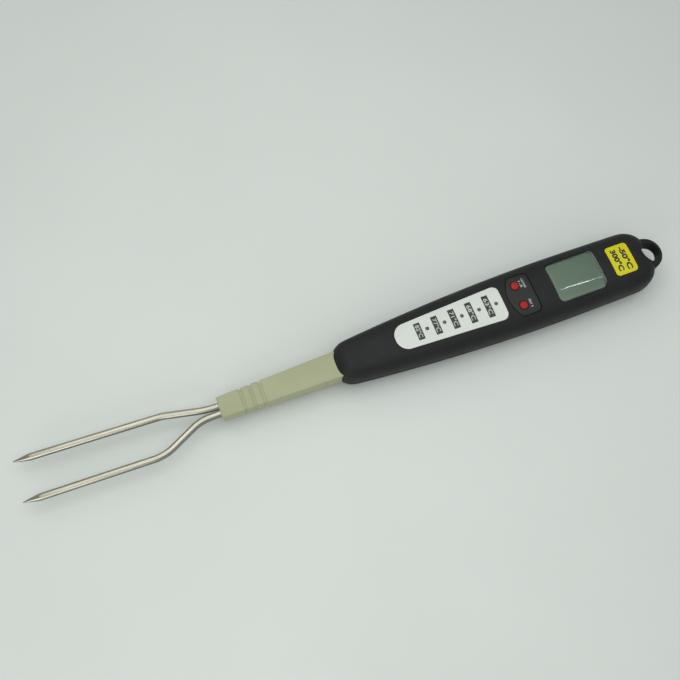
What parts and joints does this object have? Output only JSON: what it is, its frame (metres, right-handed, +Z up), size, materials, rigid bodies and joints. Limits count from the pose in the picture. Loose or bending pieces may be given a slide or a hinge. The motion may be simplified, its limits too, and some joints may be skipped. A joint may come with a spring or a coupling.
{
  "type": "meat thermometer",
  "caption": "Digital barbecue-fork thermometer: two bent steel tines, plastic neck, black handle with display, presets, red buttons, battery door and hang loop.",
  "frame": {"origin": "bottom centre of the whole object's box, on the surface that the handle's flat underside rests on", "axes": "+X from the tines to the hang loop, +Z up out of the display, +Y to the sensor tine's side"},
  "size_m": [0.3682, 0.036, 0.024],
  "materials": {
    "soft_touch_black": "soft-touch painted ABS, fine matt grain",
    "khaki_plastic": "moulded khaki plastic, satin",
    "stainless_steel": "drawn stainless rod, ground points",
    "label_white": "printed satin polycarbonate label",
    "badge_yellow": "printed yellow vinyl sticker",
    "panel_grey": "dark grey moulded plastic",
    "button_red": "moulded red plastic",
    "clear_plastic": "clear moulded acrylic",
    "display_grey": "grey-green reflective liquid crystal cell",
    "board_green": "solder-masked fibreglass board",
    "chip_black": "black epoxy and phenolic",
    "inner_plastic": "unpainted black ABS",
    "plated_steel": "nickel plated steel",
    "cell_jacket": "printed cell jacket, no marks",
    "rubber": "silicone rubber and foam",
    "lead_jacket": "insulated sensor lead"
  },
  "bodies": {
    "handle": {"upper_shell": "soft_touch_black", "lower_shell": "soft_touch_black", "neck_sleeve": "khaki_plastic", "sensor_tine": "stainless_steel", "support_tine": "stainless_steel", "window_lens": "clear_plastic", "button_panel": "panel_grey", "preset_label": "label_white", "badge_sticker": "badge_yellow", "circuit_board": "board_green", "board_screw_1": "plated_steel", "board_screw_2": "plated_steel", "board_screw_3": "plated_steel", "board_screw_4": "plated_steel", "controller_chip": "chip_black", "crystal": "plated_steel", "capacitor": "chip_black", "buzzer": "chip_black", "indicator_led_1": "clear_plastic", "indicator_led_2": "clear_plastic", "indicator_led_3": "clear_plastic", "indicator_led_4": "clear_plastic", "indicator_led_5": "clear_plastic", "light_guide": "clear_plastic", "display_glass": "display_grey", "display_frame": "inner_plastic", "zebra_strip_1": "rubber", "zebra_strip_2": "rubber", "lens_gasket": "rubber", "power_switch": "chip_black", "select_switch": "chip_black", "cell_1": "cell_jacket", "cell_2": "cell_jacket", "contact_spring_1": "plated_steel", "contact_spring_2": "plated_steel", "negative_contact": "plated_steel", "positive_contact": "plated_steel", "link_contact": "plated_steel", "sensor_bead": "chip_black", "sensor_lead": "lead_jacket", "tine_clamp": "plated_steel", "clamp_screw_1": "plated_steel", "clamp_screw_2": "plated_steel", "shell_screw_1": "plated_steel", "shell_screw_2": "plated_steel", "shell_screw_3": "plated_steel", "shell_screw_4": "plated_steel"},
    "power_button": {"power_button": "button_red", "power_switch_stem": "chip_black"},
    "select_button": {"select_button": "button_red", "select_switch_stem": "chip_black"},
    "battery_door": {"battery_door": "soft_touch_black"}
  },
  "joints": [
    {"name": "power_button_press", "type": "slide", "parent": "handle", "child": "power_button", "axis": [0, 0, -1], "range_m": [0, 0.0006], "stiffness_N_per_m": 600, "springref_m": -0.0008},
    {"name": "select_button_press", "type": "slide", "parent": "handle", "child": "select_button", "axis": [0, 0, -1], "range_m": [0, 0.0006], "stiffness_N_per_m": 600, "springref_m": -0.0008},
    {"name": "battery_door_hinge", "type": "hinge", "parent": "handle", "child": "battery_door", "pos_m": [0.052, 0, 0.0003], "axis": [0, 1, 0], "range_deg": [0, 75]}
  ]
}
